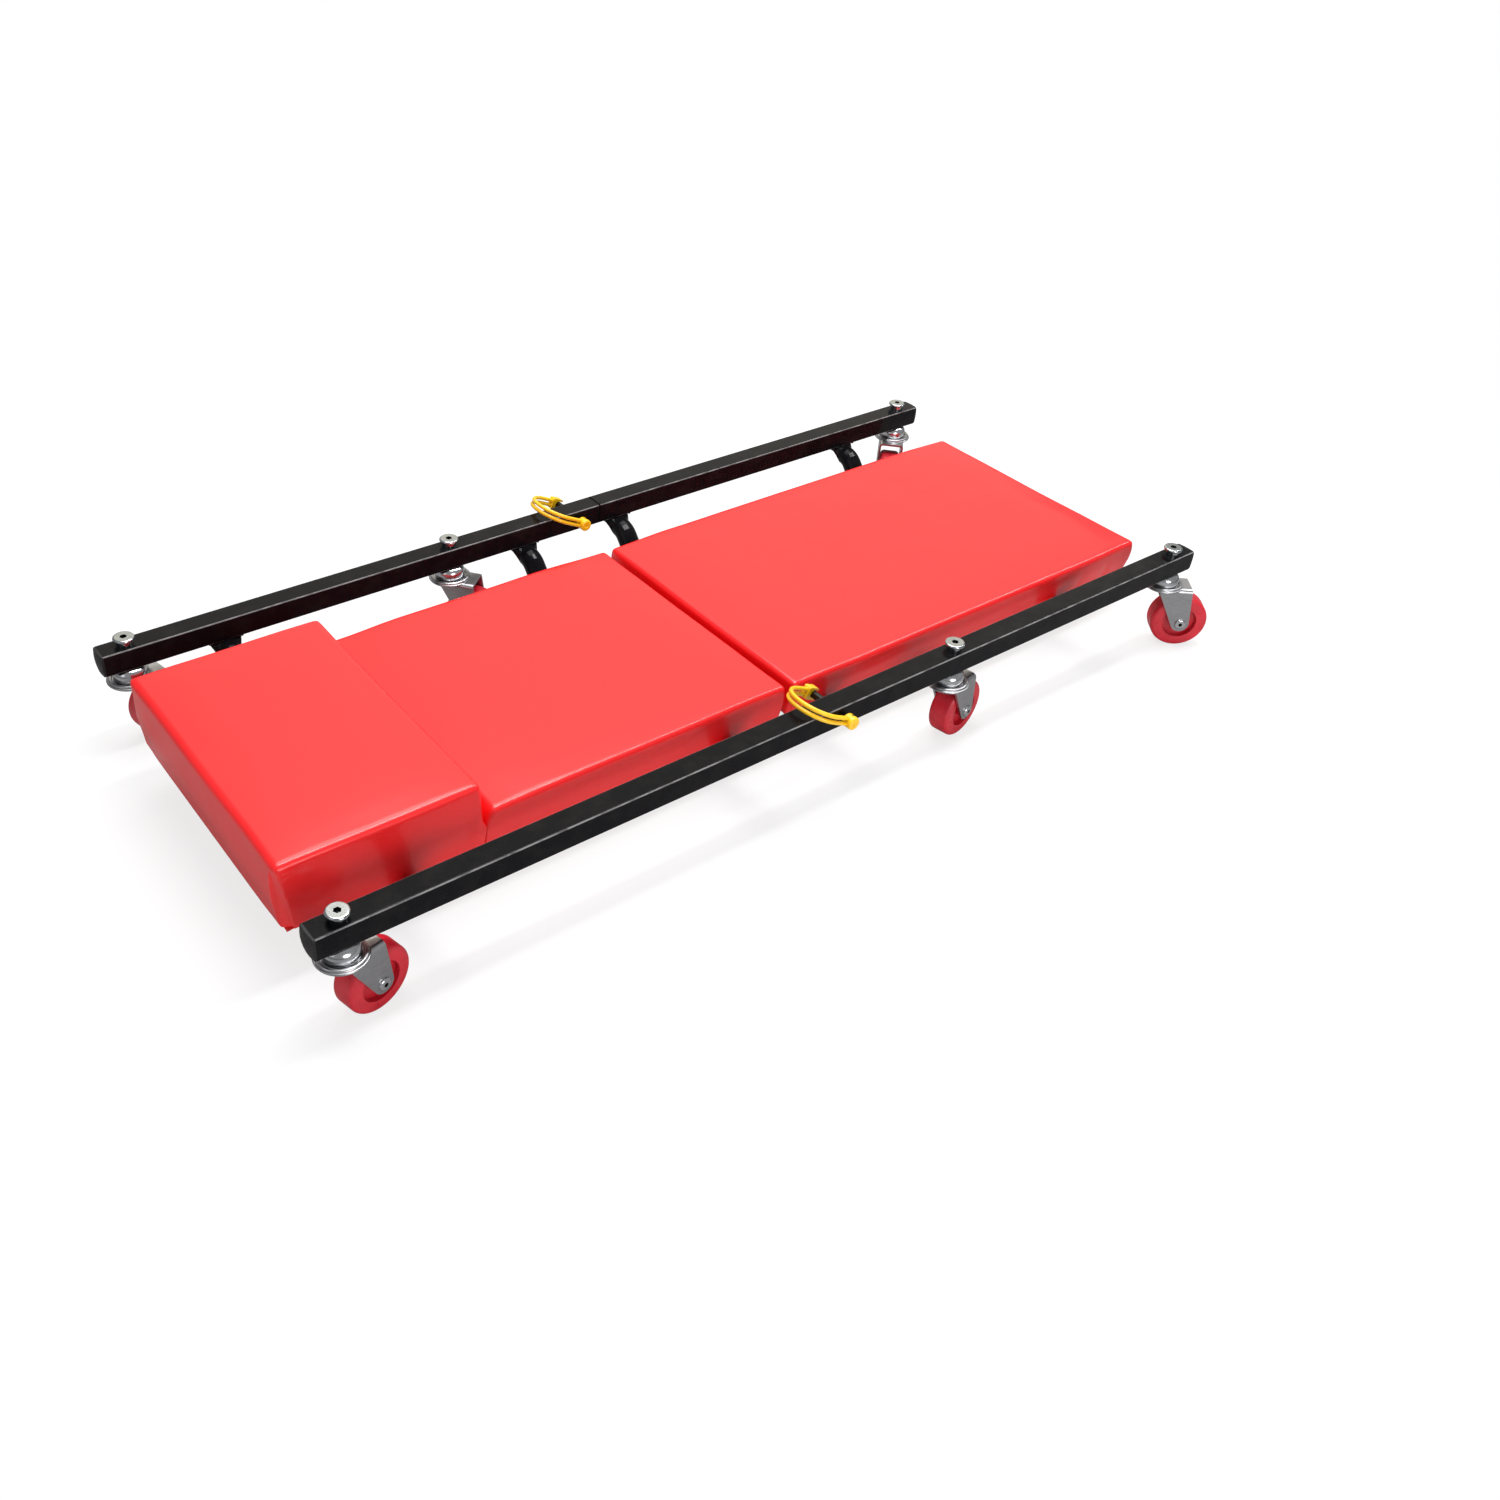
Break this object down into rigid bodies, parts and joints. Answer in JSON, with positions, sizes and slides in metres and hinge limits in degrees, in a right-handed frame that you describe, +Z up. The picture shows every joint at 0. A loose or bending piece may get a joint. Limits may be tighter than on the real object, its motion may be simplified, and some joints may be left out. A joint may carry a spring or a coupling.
{
  "type": "mechanics creeper",
  "caption": "Low padded board on swivel casters that a person lies on to roll under a car; the two halves plug together and are held by lock pins.",
  "frame": {"origin": "on the floor, midway between the two side rails and midway between the head and foot end caps", "axes": "+X from the head end to the foot end, +Y to the left of the person who lies on it, +Z up"},
  "size_m": [0.8971, 0.4211, 0.1037],
  "materials": {
    "red_vinyl": "soft red vinyl with a fine grain, semi-gloss",
    "plywood": "raw plywood",
    "black_cap": "black moulded plastic",
    "black_paint": "gloss black powder coat",
    "bare_steel": "oiled steel",
    "zinc": "zinc plate, satin",
    "bright_zinc": "bright zinc plate",
    "ball_steel": "polished bearing steel",
    "yellow_paint": "gloss yellow dip coat",
    "red_wheel": "red polyurethane tread on a moulded centre"
  },
  "bodies": {
    "frame": {"headrest_pad": "red_vinyl", "back_pad": "red_vinyl", "leg_pad": "red_vinyl", "head_board": "plywood", "foot_board": "plywood", "rail_end_caps": "black_cap", "cap_nuts": "zinc", "caster_stems": "zinc", "swivel_cups": "bright_zinc", "bearing_balls": "ball_steel", "pad_bolts": "zinc", "tee_nuts": "zinc", "head_end_tube": "black_paint", "head_inner_tube": "black_paint", "foot_inner_tube": "black_paint", "foot_end_tube": "black_paint", "head_rail_right": "black_paint", "foot_rail_right": "black_paint", "rail_sleeve_right": "bare_steel", "head_rail_left": "black_paint", "foot_rail_left": "black_paint", "rail_sleeve_left": "bare_steel"},
    "pin_right": {"lock_pin_right": "zinc", "bail_rivet_right": "zinc"},
    "bail_right": {"lock_bail_right": "yellow_paint"},
    "pin_left": {"lock_pin_left": "zinc", "bail_rivet_left": "zinc"},
    "bail_left": {"lock_bail_left": "yellow_paint"},
    "swivel_head_right": {"fork_head_right": "zinc", "axle_head_right": "bright_zinc", "bush_head_right": "zinc"},
    "roller_head_right": {"wheel_head_right": "red_wheel"},
    "swivel_mid_right": {"fork_mid_right": "zinc", "axle_mid_right": "bright_zinc", "bush_mid_right": "zinc"},
    "roller_mid_right": {"wheel_mid_right": "red_wheel"},
    "swivel_foot_right": {"fork_foot_right": "zinc", "axle_foot_right": "bright_zinc", "bush_foot_right": "zinc"},
    "roller_foot_right": {"wheel_foot_right": "red_wheel"},
    "swivel_head_left": {"fork_head_left": "zinc", "axle_head_left": "bright_zinc", "bush_head_left": "zinc"},
    "roller_head_left": {"wheel_head_left": "red_wheel"},
    "swivel_mid_left": {"fork_mid_left": "zinc", "axle_mid_left": "bright_zinc", "bush_mid_left": "zinc"},
    "roller_mid_left": {"wheel_mid_left": "red_wheel"},
    "swivel_foot_left": {"fork_foot_left": "zinc", "axle_foot_left": "bright_zinc", "bush_foot_left": "zinc"},
    "roller_foot_left": {"wheel_foot_left": "red_wheel"}
  },
  "joints": [
    {"name": "pin_turn_right", "type": "hinge", "parent": "frame", "child": "pin_right", "pos_m": [0.001, -0.177, 0.0825], "axis": [0, 1, 0], "range_deg": [0, 128]},
    {"name": "bail_swing_right", "type": "hinge", "parent": "pin_right", "child": "bail_right", "pos_m": [0.001, -0.19394, 0.0825], "axis": [0.4384, 0, 0.8988], "range_deg": [0, 90]},
    {"name": "pin_turn_left", "type": "hinge", "parent": "frame", "child": "pin_left", "pos_m": [0.001, 0.177, 0.0825], "axis": [0, 1, 0], "range_deg": [0, 128]},
    {"name": "bail_swing_left", "type": "hinge", "parent": "pin_left", "child": "bail_left", "pos_m": [0.001, 0.16006, 0.0825], "axis": [0.4384, 0, 0.8988], "range_deg": [0, 90]},
    {"name": "swivel_turn_head_right", "type": "hinge", "parent": "frame", "child": "swivel_head_right", "pos_m": [-0.4165, -0.177, 0.06], "axis": [0, 0, 1], "continuous": true},
    {"name": "wheel_roll_head_right", "type": "hinge", "parent": "swivel_head_right", "child": "roller_head_right", "pos_m": [-0.39506, -0.17205, 0.0255], "axis": [-0.225, 0.9744, 0], "continuous": true},
    {"name": "swivel_turn_mid_right", "type": "hinge", "parent": "frame", "child": "swivel_mid_right", "pos_m": [0.13, -0.177, 0.06], "axis": [0, 0, 1], "continuous": true},
    {"name": "wheel_roll_mid_right", "type": "hinge", "parent": "swivel_mid_right", "child": "roller_mid_right", "pos_m": [0.15167, -0.17318, 0.0255], "axis": [-0.1736, 0.9848, 0], "continuous": true},
    {"name": "swivel_turn_foot_right", "type": "hinge", "parent": "frame", "child": "swivel_foot_right", "pos_m": [0.4165, -0.177, 0.06], "axis": [0, 0, 1], "continuous": true},
    {"name": "wheel_roll_foot_right", "type": "hinge", "parent": "swivel_foot_right", "child": "roller_foot_right", "pos_m": [0.43335, -0.19114, 0.0255], "axis": [0.6428, 0.766, 0], "continuous": true},
    {"name": "swivel_turn_head_left", "type": "hinge", "parent": "frame", "child": "swivel_head_left", "pos_m": [-0.4165, 0.177, 0.06], "axis": [0, 0, 1], "continuous": true},
    {"name": "wheel_roll_head_left", "type": "hinge", "parent": "swivel_head_left", "child": "roller_head_left", "pos_m": [-0.39498, 0.18157, 0.0255], "axis": [-0.2079, 0.9781, 0], "continuous": true},
    {"name": "swivel_turn_mid_left", "type": "hinge", "parent": "frame", "child": "swivel_mid_left", "pos_m": [-0.13, 0.177, 0.06], "axis": [0, 0, 1], "continuous": true},
    {"name": "wheel_roll_mid_left", "type": "hinge", "parent": "swivel_mid_left", "child": "roller_mid_left", "pos_m": [-0.11586, 0.16015, 0.0255], "axis": [0.766, 0.6428, 0], "continuous": true},
    {"name": "swivel_turn_foot_left", "type": "hinge", "parent": "frame", "child": "swivel_foot_left", "pos_m": [0.4165, 0.177, 0.06], "axis": [0, 0, 1], "continuous": true},
    {"name": "wheel_roll_foot_left", "type": "hinge", "parent": "swivel_foot_left", "child": "roller_foot_left", "pos_m": [0.40094, 0.16144, 0.0255], "axis": [0.7071, -0.7071, 0], "continuous": true}
  ]
}
